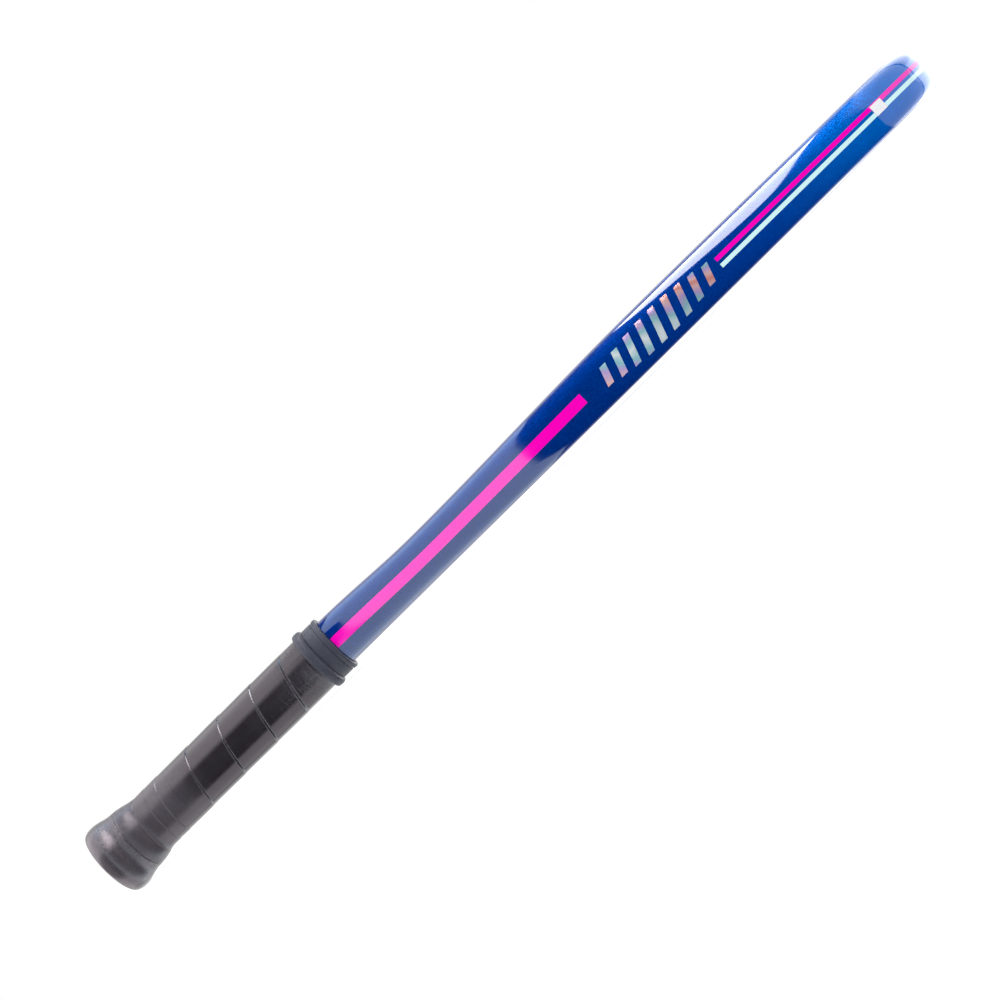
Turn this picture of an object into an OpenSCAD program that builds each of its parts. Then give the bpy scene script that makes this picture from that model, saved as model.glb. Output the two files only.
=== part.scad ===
// Junior field hockey stick, laid face down: the butt is at -X, the head at +X,
// the hook bends towards +Y and the rounded back is up.

/* [Stick] */
// Overall length from the butt cap to the bottom of the heel
stick_l = 660; // [550:5:940]
// Diameter of the round handle under the grip
handle_d = 30.4; // [25:0.2:37]

/* [Shaft] */
// Distance from the butt to the slimmest place
neck_x = 252; // [230:1:300]
// Thickness at the slimmest place
neck_t = 28; // [23:0.1:34]
// Width of the shaft at the slimmest place
neck_w = 31; // [26:0.5:38]
// Distance from the butt to the fullest place
belly_x = 430; // [380:1:540]
// Thickness at the fullest place
belly_t = 31.5; // [25:0.1:37]
// Width of the shaft where the head begins
throat_w = 38; // [31:0.5:46]

/* [Head] */
// Outer radius of the heel
heel_r = 55; // [46:0.5:66]
// Inner radius of the hook
pocket_r = 14; // [11:0.5:18]
// Depth of the head from the hook's pocket to the bottom of the heel
head_depth = 44; // [36:0.5:53]
// Thickness at the heel
heel_t = 30.4; // [24:0.1:35]
// Thickness at the toe
toe_t = 22; // [18:0.1:27]
// Angle that the head turns through
hook_turn = 160; // [130:1:170]
// Angle past the heel's end at which the head starts to thin towards the toe
taper_from = 0; // [-30:1:20]
// Length of the rounded toe beyond the bend
toe_l = 17; // [12:0.5:24]

/* [Laminate] */
// Wall of the laminate shell in the shaft
shaft_wall = 2.6; // [2:0.1:3.4]
// Wall of the laminate shell in the head
head_wall = 3.6; // [2.6:0.1:4.5]
// Thickness of the web between the two foam cores
web_t = 1.6; // [1:0.1:3]
// Distance from the start of the heel's bend back to the head's own core
head_core_lead = 25; // [10:1:60]

/* [Butt] */
// Height of the butt cap's rim above the grip
flare_h = 5.1; // [3:0.1:8]
// Distance from the butt to the cap's largest diameter
cap_peak_x = 7; // [5.5:0.1:9]
// Width of the cap's round corner, measured across the butt
cap_corner_w = 4.8; // [4:0.1:12]
// Distance from the butt to the foot of the flare
flare_l = 37; // [28:0.5:42]
// Thickness of the butt cap's end wall
cap_end_t = 4; // [2.5:0.1:5]
// Length of the plug inside the handle
plug_l = 26; // [15:0.5:40]
// Length of the damper inside the handle
damper_l = 60; // [30:1:90]

/* [Grip] */
// Thickness of the wound grip tape
tape_t = 1.55; // [1.2:0.05:2.5]
// Thickness of the adhesive layer under the grip tape
underlay_t = 0.3; // [0.2:0.05:0.5]
// Distance from the butt to the first turn of the tape
tape_x = 11; // [9:0.5:14]
// Length of tape that is tucked under the collar
tape_tuck = 4; // [2:0.5:5]

/* [Collar] */
// Distance from the butt to the collar
collar_x = 164; // [130:1:205]
// Length of the collar
collar_l = 16.5; // [14:0.5:22]
// Height of the collar's bead above the grip
bead_h = 2.35; // [1.4:0.05:4]
// Thickness of the collar's band over the handle
band_t = 2.5; // [1.5:0.1:4]

/* [Markings] */
// Width of the wide stripe along the outer edge
wide_stripe_w = 6.8; // [4:0.1:9]
// Distance from the butt to the end of the wide stripe
wide_stripe_end = 377; // [300:1:386]
// Distance from the butt to the foil marks
foil_x = 390; // [380:1:392]
// Number of foil marks
foil_n = 9; // [4:1:9]
// Distance between foil marks
foil_pitch = 10; // [8:0.1:10]
// Height of the tallest foil mark
foil_h = 19; // [12:0.5:20]
// Distance from the butt to the start of the two thin stripes
thin_stripe_x = 484; // [480:1:560]
// Width of each thin stripe
thin_stripe_w = 2.6; // [1.5:0.1:3]
// Height of the pink thin stripe above the middle of the edge
pink_h = 2.7; // [2:0.1:5]
// Depth of the cyan thin stripe below the middle of the edge
cyan_h = 1.9; // [1.5:0.1:5]

/* [Hidden] */

$fn = 96;
// Clearance between pieces that lie inside one another
fit = 0.15;
// Gap under a transfer, and the thickness of its film
film_gap = 0.12;
film_t = 0.12;
// Sides of the shell's section, and of its cavity's
sides = 36;
cavity_sides = 28;
// Exponents of the section's rounded back and of its flat face, and how deep the face is cut flat
back_power = 2.9;
face_power = 3.8;
face_cut = 0.06;
// Angle below a section's widest point at which the flat part of the face begins
flat_from = 70;
// Share of the thickness at which a flat-faced section is widest
widest = 0.48;
// Length over which the wall thickens towards the head
wall_blend = 60;
// How far the throat's middle lies from the handle's axis, towards the hook
throat_shift = 1;
// Exponent of the toe's outline, and the share of its thickness left at the tip
toe_power = 2.6;
toe_tip = 0.4;
// Exponent of the butt cap's round corner, and how straight its flare is
corner_power = 2.4;
flare_straight = 0.35;
// Reach of a cutting block past what it cuts
beyond = 20;
// Last section before the bend, and the least spacing of sections
bend_lead = 4;
section_gap = 1;
// How far out along the toe each of its sections lies
toe_shares = [0.25, 0.5, 0.7, 0.83, 0.92, 0.97, 0.995];
// How far a thin layer's end lies inside the piece that covers it
tuck = 1;

handle_r = handle_d / 2;
grip_r = handle_r + fit + underlay_t + fit + tape_t;
cap_r = grip_r + flare_h;
grip_end = collar_x + tape_tuck;
flange_t = 1.8;
plug_x = cap_end_t + fit;
shell_x = plug_x + flange_t + fit;
damper_x = shell_x + plug_l + fit;
core_x = damper_x + damper_l + fit;
round_end = collar_x + collar_l + 2;
bend_x = stick_l - heel_r;
core_end = bend_x - head_core_lead;

// The outer edge is nearly straight, and the inner edge widens into the throat.
outer_side = throat_w / 2 - throat_shift;
inner_side = throat_w / 2 + throat_shift;
heel_y = heel_r - outer_side;
pocket_x = stick_l - head_depth - pocket_r;
pocket_y = inner_side + pocket_r;

function mix(a, b, t) = a + (b - a) * t;
function steps(from, to, n) = [for (i = [0:n]) mix(from, to, i / n)];
function ease(t) = let (c = min(max(t, 0), 1)) c * c * (3 - 2 * c);
function ramp(x, from, to) = ease((x - from) / (to - from));
function root(v, n) = sign(v) * pow(abs(v), 1 / n);

// Thickness, half width and wall along the straight part
function thickness(x) =
    x < neck_x ? mix(handle_d, neck_t, ramp(x, round_end, neck_x))
    : x < belly_x ? mix(neck_t, belly_t, ramp(x, neck_x, belly_x))
    : mix(belly_t, heel_t, ramp(x, belly_x, stick_l - heel_r / 2));
function half_width(x, at_throat) =
    x < neck_x ? mix(handle_r, neck_w / 2, ramp(x, round_end, neck_x))
    : mix(neck_w / 2, at_throat, ramp(x, neck_x, bend_x));
function wall(x) = mix(shaft_wall, head_wall, ramp(x, core_end - wall_blend, core_end));

// A station is a cross-section: its outer and inner edge points, its thickness, how flat the
// face is (0 is round), its wall, and how open it is (under 1 as the toe closes).
function straight_station(x) =
    [[x, -half_width(x, outer_side)], [x, half_width(x, inner_side)],
     thickness(x), ramp(x, round_end, belly_x), wall(x), 1];
function bend_station(a) =
    [[bend_x + heel_r * cos(a), heel_y + heel_r * sin(a)],
     [pocket_x + pocket_r * cos(a), pocket_y + pocket_r * sin(a)],
     mix(thickness(bend_x), toe_t, ramp(a, taper_from, hook_turn - 90)), 1, head_wall, 1];
function toe_station(v) =
    let (a = hook_turn - 90, s = bend_station(a), d = [-sin(a), cos(a)] * toe_l * v)
    [s[0] + d, s[1] + d, toe_t, 1, head_wall, root(1 - pow(v, toe_power), toe_power)];
// The station at a distance along the outer edge
function station_at(p) =
    p <= bend_x ? straight_station(p) : bend_station((p - bend_x) / heel_r * 180 / PI - 90);

// Heights of a section's lowest, widest and highest points
function low(s) = s[2] * (1 - mix(toe_tip, 1, sqrt(s[5]))) / 2;
function high(s) = s[2] - low(s);
function middle(s) = mix(low(s), high(s), mix(0.5, widest, s[3]));
// The point of a section at an angle: 0 faces the inner edge, 90 the back, 180 the outer edge
function section_point(s, a) =
    let (up = sin(a) >= 0, n = mix(2, up ? back_power : face_power, s[3]),
         reach = up ? high(s) - middle(s) : (middle(s) - low(s)) * (1 + face_cut * s[3]))
    [norm(s[1] - s[0]) / 2 * s[5] * root(cos(a), n / 2),
     max(low(s), middle(s) + reach * root(sin(a), n / 2))];
function sunk_point(s, a, depth) =
    let (t = section_point(s, a + 1) - section_point(s, a - 1))
    section_point(s, a) + [-t[1], t[0]] / norm(t) * depth;
// A point of a section's own plane, set in the object
function placed(s, q) =
    let (across = (s[1] - s[0]) / norm(s[1] - s[0]), at = (s[0] + s[1]) / 2 + across * q[0])
    [at[0], at[1], q[1]];
function ring(s, n, depth) =
    [for (i = [0:n - 1]) placed(s, sunk_point(s, i * 360 / n, depth))];

// A closed solid through rings of n points each
module skin(rings, n) {
    last = len(rings) - 1;
    polyhedron([for (r = rings) each r], [
        [for (i = [0:n - 1]) i],
        [for (i = [n - 1:-1:0]) last * n + i],
        for (k = [0:last - 1], i = [0:n - 1], half = [0, 1])
            let (a = k * n + i, b = k * n + (i + 1) % n)
            half == 0 ? [b, a, a + n] : [b, a + n, b + n]
    ]);
}

shaft_xs = concat(steps(round_end, core_end, 14), [bend_x - bend_lead]);
bend_angles = steps(-90, hook_turn - 90, 20);
function between(from, to) = [for (x = shaft_xs) if (x > from + section_gap && x < to - section_gap) x];
function straight_stations(from, to) =
    [for (x = concat(from, between(from, to), to)) straight_station(x)];
bend_stations = [for (a = bend_angles) bend_station(a)];
toe_stations = [for (v = toe_shares) toe_station(v)];

// What fills the hollow of the shell between two distances, with a gap all round
module filling(stations, gap) {
    skin([for (s = stations) ring(s, cavity_sides, s[4] + gap)], cavity_sides);
}
module core_block(from_y, to_y) {
    intersection() {
        filling(straight_stations(core_x, core_end - fit), fit);
        translate([0, from_y, -beyond]) cube([stick_l, to_y - from_y, handle_d + 2 * beyond]);
    }
}

// A round piece on the handle's axis, from an outline of radius and distance from the butt
module turned(outline) {
    translate([0, 0, handle_r]) rotate([90, 0, 90]) rotate_extrude() polygon(outline);
}

// Radius of the wound tape where it climbs the flare of the butt cap
function flare_r(x) =
    let (t = (x - cap_peak_x) / (flare_l - cap_peak_x))
    mix(cap_r, grip_r, min(1, mix(ease(t), t, flare_straight)));

// A thin film on the outer edge, through rows of points given as distance along the edge and
// height from the middle. Lift is the gap beneath it.
function flank_point(p, h, lift) =
    let (s = station_at(p), n = mix(2, h >= 0 ? back_power : face_power, s[3]),
         reach = h >= 0 ? high(s) - middle(s) : (middle(s) - low(s)) * (1 + face_cut * s[3]))
    placed(s, [-norm(s[1] - s[0]) / 2 * root(1 - pow(abs(h) / reach, n), n) - lift,
               middle(s) + h]);
module film(rows, lift = film_gap) {
    m = len(rows[0]);
    last = len(rows) - 1;
    under = [for (row = rows) each [for (q = row) flank_point(q[0], q[1], lift)]];
    over = [for (row = rows) each [for (q = row) flank_point(q[0], q[1], lift + film_t)]];
    n = len(under);
    polyhedron(concat(under, over), [
        for (k = [0:last - 1], j = [0:m - 2], half = [0, 1])
            let (a = k * m + j, b = a + m) half == 0 ? [a, a + 1, b] : [a + 1, b + 1, b],
        for (k = [0:last - 1], j = [0:m - 2], half = [0, 1])
            let (a = n + k * m + j, b = a + m) half == 0 ? [a + 1, a, b] : [b + 1, a + 1, b],
        for (k = [0:last - 1], end = [0, m - 1], half = [0, 1])
            let (a = k * m + end, b = a + m, f = half == 0 ? [a, b, b + n] : [a, b + n, a + n])
            end == 0 ? f : [f[2], f[1], f[0]],
        for (j = [0:m - 2], row = [0, last], half = [0, 1])
            let (a = row * m + j, f = half == 0 ? [a + 1, a, a + n] : [a + 1, a + n, a + 1 + n])
            row == 0 ? f : [f[2], f[1], f[0]]
    ]);
}
module stripe(from, to, centre, width, over_heel = false) {
    ps = concat(from, between(from, to),
                over_heel ? [for (a = bend_angles) bend_x + (a + 90) * PI / 180 * heel_r] : to);
    film([for (p = ps) [for (h = steps(-width / 2, width / 2, 4)) [p, centre + h]]]);
}
// The stick leans by a small angle, so that it lies on the rim of the cap and on the head.
flat_reach = head_depth / 2 * root(cos(flat_from), face_power / 2);
lie_x = stick_l - head_depth / 2 + flat_reach;
lean = atan((cap_r - handle_r) / (lie_x - cap_peak_x));
toe_y = max([for (s = concat(bend_stations, toe_stations)) each [for (q = ring(s, sides, 0)) q[1]]]);
module laid() {
    translate([-stick_l / 2 * cos(lean) - handle_r * sin(lean), (cap_r - toe_y) / 2, lie_x * sin(lean)])
        rotate([0, lean, 0]) children();
}

module shell() {
    color("#0a3f96") laid() difference() {
        skin([for (s = concat(straight_stations(shell_x, bend_x - bend_lead), bend_stations, toe_stations))
              ring(s, sides, 0)], sides);
        filling(concat(straight_stations(shell_x - beyond, bend_x - bend_lead), bend_stations), 0);
    }
}
module centre_web() { color("#2b2c2f") laid() core_block(-web_t / 2, web_t / 2); }
module outer_core() { color("#e8ddb8") laid() core_block(-handle_d, -web_t / 2 - fit); }
module inner_core() { color("#e8ddb8") laid() core_block(web_t / 2 + fit, handle_d); }
// Angle left free past the head core's end
tip_gap = 0.3;
module head_core() {
    color("#c9b98c") laid()
        filling(concat(straight_stations(core_end, bend_x - bend_lead),
                       [for (a = bend_angles) bend_station(min(a, hook_turn - 90 - tip_gap))]), fit);
}

// Radius of a round piece that slides into the handle's bore
bore_fit_r = (handle_r - shaft_wall) * cos(180 / cavity_sides) - fit;
module handle_damper() {
    color("#3a3d42") laid() turned([[0, damper_x], [bore_fit_r, damper_x],
                                    [bore_fit_r, damper_x + damper_l], [0, damper_x + damper_l]]);
}
module end_plug() {
    color("#1d1d1f") laid() turned([[0, plug_x], [handle_r - fit, plug_x],
                                    [handle_r - fit, plug_x + flange_t],
                                    [bore_fit_r, plug_x + flange_t],
                                    [bore_fit_r, shell_x + plug_l], [0, shell_x + plug_l]]);
}

// The cap's end is a flat disc with a round corner, and its sleeve thins out under the tape.
sleeve_end = flare_l - 2;
disc_r = cap_r - cap_corner_w;
module butt_cap() {
    corner = [for (a = steps(90, 0, 12))
              [mix(disc_r, cap_r, root(cos(a), corner_power / 2)),
               cap_peak_x * (1 - root(sin(a), corner_power / 2))]];
    rim = [for (x = steps(cap_peak_x, tape_x, 4)) [flare_r(x), x]];
    sleeve = [for (x = steps(tape_x, sleeve_end, 12)) [flare_r(x) - tape_t - fit, x]];
    color("#2a282c") laid() turned(concat(
        [[0, 0]], corner, [for (i = [1:4]) rim[i]], sleeve,
        [[handle_r + fit, sleeve_end], [handle_r + fit, cap_end_t], [0, cap_end_t]]));
}
module grip_underlay() {
    r = handle_r + fit;
    color("#d8d2c4") laid() turned([[r, flare_l], [r + underlay_t, flare_l],
                                    [r + underlay_t, grip_end - tuck], [r, grip_end - tuck]]);
}
module grip_tape() {
    climb = steps(tape_x + fit, flare_l, 14);
    color("#47434a") laid() turned(concat(
        [for (x = climb) [flare_r(x), x]], [[grip_r, grip_end], [grip_r - tape_t, grip_end]],
        [for (i = [len(climb) - 1:-1:0]) [flare_r(climb[i]) - tape_t, climb[i]]]));
}

// The finishing tape steps down over the end of the grip tape, hidden under the collar.
finish_t = 0.25;
// How far it stops short of the collar's end
finish_back = 3;
finish_x = grip_end + fit;
finish_end = collar_x + collar_l - finish_back;
module finishing_tape() {
    color("#b9b9bb") laid() turned([
        [grip_r + fit, collar_x + tuck], [grip_r + fit + finish_t, collar_x + tuck],
        [grip_r + fit + finish_t, finish_x + finish_t], [handle_r + fit + finish_t, finish_x + finish_t],
        [handle_r + fit + finish_t, finish_end], [handle_r + fit, finish_end],
        [handle_r + fit, finish_x], [grip_r + fit, finish_x]]);
}

// A rubber collar: a rounded bead next to the grip, a plain band and a thin far rim
bead_lip = 0.5;
bead_past = 1.2;
bead_round = 0.7;
rim_h = 0.45;
rim_l = 2.4;
module collar() {
    over = fit + finish_t + fit;
    bead_l = finish_x + finish_t + fit - collar_x + bead_past;
    bead_r = grip_r + bead_h;
    band_r = handle_r + band_t;
    far = collar_x + collar_l;
    bead = [for (a = steps(180, 0, 16))
            let (foot_r = a > 90 ? grip_r + over + bead_lip : band_r)
            [foot_r + (bead_r - foot_r) * pow(sin(a), bead_round), collar_x + bead_l / 2 * (1 + cos(a))]];
    far_rim = [for (a = steps(180, 0, 8))
               [band_r + rim_h * sin(a), far - rim_l / 2 * (1 - cos(a))]];
    color("#4a4e58") laid() turned(concat(
        [[grip_r + over, collar_x]], bead, far_rim,
        [[handle_r + fit, far], [handle_r + fit, finish_end + fit],
         [handle_r + over, finish_end + fit], [handle_r + over, finish_x + finish_t + fit],
         [grip_r + over, finish_x + finish_t + fit]]));
}

module wide_stripe() {
    color("#ff00be") laid() stripe(collar_x + collar_l + 2 * fit, wide_stripe_end, 0, wide_stripe_w);
}
module pink_stripe() {
    color("#ff00be") laid() stripe(thin_stripe_x, bend_x, pink_h, thin_stripe_w, over_heel = true);
}
module cyan_stripe() {
    color("#8feaf5") laid() stripe(thin_stripe_x, bend_x, -cyan_h, thin_stripe_w, over_heel = true);
}
// Slanted bars that grow and shrink along the row: the end bars' share of the tallest, and where
// the row sits on the wave that sets their heights
foil_w = 4.5;
foil_slant = 0.35;
foil_least = 0.45;
foil_lead = 0.8;
foil_spare = 0.6;
module foil_marks() {
    color("#c9a9b4") laid() for (i = [0:foil_n - 1]) {
        tall = foil_h / 2 * mix(foil_least, 1, sin(180 * (i + foil_lead) / (foil_n + foil_spare)));
        x = foil_x + i * foil_pitch + foil_h / 2 * foil_slant;
        film([for (d = steps(0, foil_w, 3)) [for (h = steps(-tall, tall, 8)) [x + d + h * foil_slant, h]]]);
    }
}
// A small blank tag that lies over both thin stripes
tag_l = 8;
tag_w = 6.8;
module size_tag() {
    over_stripes = 2 * film_gap + film_t;
    color("#f2f2f2") laid()
        film([for (p = steps(bend_x, bend_x + tag_l, 2)) [for (h = steps(-tag_w / 2, tag_w / 2, 4)) [p, h]]],
             over_stripes);
}

shell();
centre_web();
outer_core();
inner_core();
head_core();
handle_damper();
end_plug();
butt_cap();
grip_underlay();
grip_tape();
finishing_tape();
collar();
wide_stripe();
pink_stripe();
cyan_stripe();
foil_marks();
size_tag();
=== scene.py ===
import math

import bpy
from mathutils import Matrix, Vector


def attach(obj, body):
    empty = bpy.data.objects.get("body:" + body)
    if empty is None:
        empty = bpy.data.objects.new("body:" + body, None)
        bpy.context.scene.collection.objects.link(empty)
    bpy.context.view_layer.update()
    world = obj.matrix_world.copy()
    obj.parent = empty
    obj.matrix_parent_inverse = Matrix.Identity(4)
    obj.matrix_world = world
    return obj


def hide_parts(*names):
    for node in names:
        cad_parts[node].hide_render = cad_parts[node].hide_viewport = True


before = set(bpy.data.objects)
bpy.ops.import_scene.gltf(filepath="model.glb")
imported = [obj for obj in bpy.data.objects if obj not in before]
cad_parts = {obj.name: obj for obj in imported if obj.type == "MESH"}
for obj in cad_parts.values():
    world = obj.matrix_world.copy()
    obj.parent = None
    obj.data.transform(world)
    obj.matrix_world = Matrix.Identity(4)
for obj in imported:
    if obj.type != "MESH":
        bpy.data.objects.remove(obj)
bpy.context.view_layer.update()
print("frame loaded with", len(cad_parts), "solids")

# Every size is in millimetres along the stick: x from the butt, y across with the hook at +y,
# z up from the flat playing face.
stick = {
    "length": 660.0,
    "axisHeight": 15.2,  # also the radius of the round handle
    "midway": 330.0,
    "sideShift": 33.875,  # from the handle's axis to the middle of the whole stick's width
    "capRadius": 22.45,
    "capPeak": 7.0,
    "faceEnd": 650.508,  # where the flat face leaves the floor at the heel
    "floorGap": 0.014,  # keeps the smooth heel from dipping under the floor
    "ringSides": 144,  # flat sides of each turned ring
    "ringMerge": 0.0005,
}
lean = math.atan((stick["capRadius"] - stick["axisHeight"]) / (stick["faceEnd"] - stick["capPeak"]))


def mix(a, b, t):
    return a + (b - a) * t


def ease(t):
    t = min(max(t, 0.0), 1.0)
    return t * t * (3 - 2 * t)


def ramp(x, start, end):
    return ease((x - start) / (end - start))


def clearSelection():
    if bpy.context.mode != "OBJECT":
        bpy.ops.object.mode_set(mode="OBJECT")
    bpy.ops.object.select_all(action="DESELECT")


def pick(piece):
    clearSelection()
    piece.select_set(True)
    bpy.context.view_layer.objects.active = piece


def tidyMesh(piece, merge=0.002):
    pick(piece)
    bpy.ops.object.mode_set(mode="EDIT")
    bpy.ops.mesh.select_all(action="SELECT")
    bpy.ops.mesh.remove_doubles(threshold=merge)
    bpy.ops.mesh.normals_make_consistent(inside=False)
    bpy.ops.object.mode_set(mode="OBJECT")


# Gives a sheet its thickness, and hands back each corner with the one made behind it
def giveWall(piece, thickness, outwards=False):
    pick(piece)
    sheetCorners = len(piece.data.vertices)
    wall = piece.modifiers.new("wall", "SOLIDIFY")
    wall.thickness = thickness
    wall.offset = 1 if outwards else -1
    wall.use_even_offset = False
    bpy.ops.object.modifier_apply(modifier=wall.name)
    corners = piece.data.vertices
    return zip(corners[:sheetCorners], corners[sheetCorners:])


# Lays a piece made in the stick's own millimetres down on the floor, butt cap and heel touching it
def layDown(piece, sharpest):
    pick(piece)
    down = math.sin(lean)
    ahead = math.cos(lean)
    shift = (
        -(stick["midway"] * ahead + stick["axisHeight"] * down),
        -stick["sideShift"],
        stick["faceEnd"] * down + stick["floorGap"],
    )
    place = Matrix.Translation(shift) @ Matrix.Rotation(lean, 4, "Y")
    piece.matrix_world = Matrix.Scale(0.001, 4) @ place  # millimetres to metres
    bpy.ops.object.transform_apply(location=True, rotation=True, scale=True)
    bpy.ops.object.shade_smooth_by_angle(angle=math.radians(sharpest))


# A flat grid rolled into place: spot(u, v) says where each of its corners goes
def rolledSheet(name, along, around, spot):
    clearSelection()
    bpy.ops.mesh.primitive_grid_add(x_subdivisions=along, y_subdivisions=around, size=1)
    sheet = bpy.context.object
    sheet.name = name
    for corner in sheet.data.vertices:
        u, v = corner.co.x + 0.5, corner.co.y + 0.5
        corner.co = spot(min(max(u, 0), 1), min(max(v, 0), 1))
    return sheet


# A ring turned on the handle's axis from its outline of (x, radius) points
def turnedRing(name, outline):
    clearSelection()
    bpy.ops.mesh.primitive_plane_add(size=1)
    ring = bpy.context.object
    ring.name = name
    bpy.ops.object.mode_set(mode="EDIT")
    bpy.ops.mesh.select_all(action="SELECT")
    bpy.ops.mesh.merge(type="CENTER")
    points = [Vector((x, 0, r)) for x, r in outline]
    bpy.ops.transform.translate(value=points[0])
    for here, there in zip(points, points[1:] + points[:1]):
        bpy.ops.mesh.extrude_vertices_move(TRANSFORM_OT_translate={"value": there - here})
    bpy.ops.mesh.select_all(action="SELECT")
    bpy.ops.mesh.remove_doubles(threshold=stick["ringMerge"])
    bpy.ops.mesh.select_all(action="SELECT")
    bpy.ops.mesh.spin(
        steps=stick["ringSides"], angle=2 * math.pi, center=(0, 0, 0), axis=(1, 0, 0)
    )
    bpy.ops.mesh.select_all(action="SELECT")
    bpy.ops.transform.translate(value=(0, 0, stick["axisHeight"]))
    tidyMesh(ring, stick["ringMerge"])
    return ring


body = {
    "start": 6.1,
    "roundEnd": 182.5,
    "neckAt": 252.0,
    "neckThick": 28.0,
    "neckWide": 31.0,
    "bellyAt": 430.0,
    "bellyThick": 31.5,
    "outerSide": 18.0,
    "innerSide": 20.0,
    "bendAt": 605.0,
    "swingFrom": 540.0,  # from here the sections swing round towards the pocket
    "heel": (605.0, 37.0, 55.0),  # centre x, centre y, radius
    "pocket": (602.0, 34.0, 14.0),
    "heelThick": 30.4,
    "toeThick": 22.0,
    "hookTurn": 160.0,  # degrees that the hook turns through
    "taperFrom": 0.0,  # degrees past the far end of the heel where it starts to get thinner
    "toeLength": 17.0,
    "toePower": 2.54,  # how square the end of the toe is
    "toeReach": 30.0,  # the toe lies within this distance of its root
    "toeLining": (0.1, 0.6),  # shares of its length between which the lining becomes a smaller toe
    "tipThick": 0.4,  # share of the toe's thickness that is left at its tip
    "roundMiddle": 0.5,  # height of the widest line on the handle, as a share of the thickness
    "flatMiddle": 0.48,  # and on the head
    "backPower": 2.9,
    "facePower": 3.8,
    "faceCut": 0.06,
    "wall": 2.2,
    "around": 120,
    "handleRings": [60.0, 120.0, 170.0],
    "shaftRings": (180, 4),  # first, and how far apart they follow up to the bend
    "bendStep": 2.5,  # degrees from ring to ring round the hook
    "toeRings": 18,
    "sharpest": 60,
}


def thickness(x):
    if x < body["neckAt"]:
        atHandle = 2 * stick["axisHeight"]
        return mix(atHandle, body["neckThick"], ramp(x, body["roundEnd"], body["neckAt"]))
    if x < body["bellyAt"]:
        gone = ramp(x, body["neckAt"], body["bellyAt"])
        return mix(body["neckThick"], body["bellyThick"], gone)
    heelMiddle = stick["length"] - body["heel"][2] / 2
    return mix(body["bellyThick"], body["heelThick"], ramp(x, body["bellyAt"], heelMiddle))


def halfWidth(x, atThroat):
    neck = body["neckWide"] / 2
    if x < body["neckAt"]:
        return mix(stick["axisHeight"], neck, ramp(x, body["roundEnd"], body["neckAt"]))
    return mix(neck, atThroat, ramp(x, body["neckAt"], body["bendAt"]))


# A section is told by its outer and inner edge, its thickness, how far from round it is (flat),
# and how much of it is left near the tip (whole)
def makeSection(outer, inner, thick, flat=1.0, whole=1.0):
    return {"outer": outer, "inner": inner, "thick": thick, "flat": flat, "whole": whole}


def straightSection(x):
    lag = (body["heel"][0] - body["pocket"][0]) * ramp(x, body["swingFrom"], body["bendAt"])
    outer = Vector((x, -halfWidth(x, body["outerSide"])))
    inner = Vector((x - lag, halfWidth(x, body["innerSide"])))
    return makeSection(outer, inner, thickness(x), ramp(x, body["roundEnd"], body["bellyAt"]))


def bendSection(turn):
    heading = Vector((math.cos(turn), math.sin(turn)))
    hx, hy, heelRadius = body["heel"]
    px, py, pocketRadius = body["pocket"]
    gone = ramp(math.degrees(turn), body["taperFrom"], body["hookTurn"] - 90)
    thick = mix(thickness(body["bendAt"]), body["toeThick"], gone)
    outer = Vector((hx, hy)) + heading * heelRadius
    return makeSection(outer, Vector((px, py)) + heading * pocketRadius, thick)


def toeSection(out):
    turn = math.radians(body["hookTurn"] - 90)
    root = bendSection(turn)
    step = Vector((-math.sin(turn), math.cos(turn))) * body["toeLength"] * out
    power = body["toePower"]
    whole = max(0.0, 1 - out**power) ** (1 / power)
    outer, inner = root["outer"] + step, root["inner"] + step
    return makeSection(outer, inner, body["toeThick"], whole=whole)


def sectionAt(p):
    if p <= body["bendAt"]:
        return straightSection(p)
    return bendSection((p - body["bendAt"]) / body["heel"][2] - math.pi / 2)


# Heights of a section's bottom, widest line and top
def heights(section):
    low = section["thick"] * (1 - mix(body["tipThick"], 1, section["whole"] ** 0.5)) / 2
    high = section["thick"] - low
    middle = mix(body["roundMiddle"], body["flatMiddle"], section["flat"])
    return low, mix(low, high, middle), high


# How square a section is above or below its widest line, and how far it reaches there
def halfShape(section, above):
    low, middle, high = heights(section)
    flat = section["flat"]
    if above:
        return mix(2, body["backPower"], flat), high - middle
    return mix(2, body["facePower"], flat), (middle - low) * (1 + body["faceCut"] * flat)


# A point on a section: turn 0 is its inner edge, a quarter turn its back and half a turn its
# outer edge
def skinPoint(section, turn):
    low, middle = heights(section)[:2]
    c, s = math.cos(turn), math.sin(turn)
    power, reach = halfShape(section, s >= 0)
    far = (abs(c) ** power + abs(s) ** power) ** (-1 / power)
    outer, inner = section["outer"], section["inner"]
    place = (outer + inner) / 2 + (inner - outer) / 2 * (section["whole"] * c * far)
    return Vector((place.x, place.y, max(low, middle + reach * s * far)))


# A point on the outer edge's side, h above the widest line and lifted off the skin
def flankPoint(p, h, lift):
    section = sectionAt(p)
    power, reach = halfShape(section, h >= 0)
    across = section["inner"] - section["outer"]
    out = across.length / 2 * max(0.0, 1 - (abs(h) / reach) ** power) ** (1 / power) + lift
    place = (section["outer"] + section["inner"]) / 2 - across.normalized() * out
    return Vector((place.x, place.y, heights(section)[1] + h))


def bodyRings():
    rings = [straightSection(x) for x in [body["start"]] + body["handleRings"]]
    first, spacing = body["shaftRings"]
    count = int((body["bendAt"] - first) / spacing) + 1
    rings += [straightSection(first + spacing * i) for i in range(count)]
    step, count = body["bendStep"], round(body["hookTurn"] / body["bendStep"])
    rings += [bendSection(math.radians(step * i - 90)) for i in range(1, count + 1)]
    count, power = body["toeRings"], 2 / body["toePower"]
    outs = [math.sin(math.radians(90 / count * i)) ** power for i in range(1, count + 1)]
    return rings + [toeSection(out) for out in outs]


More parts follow.
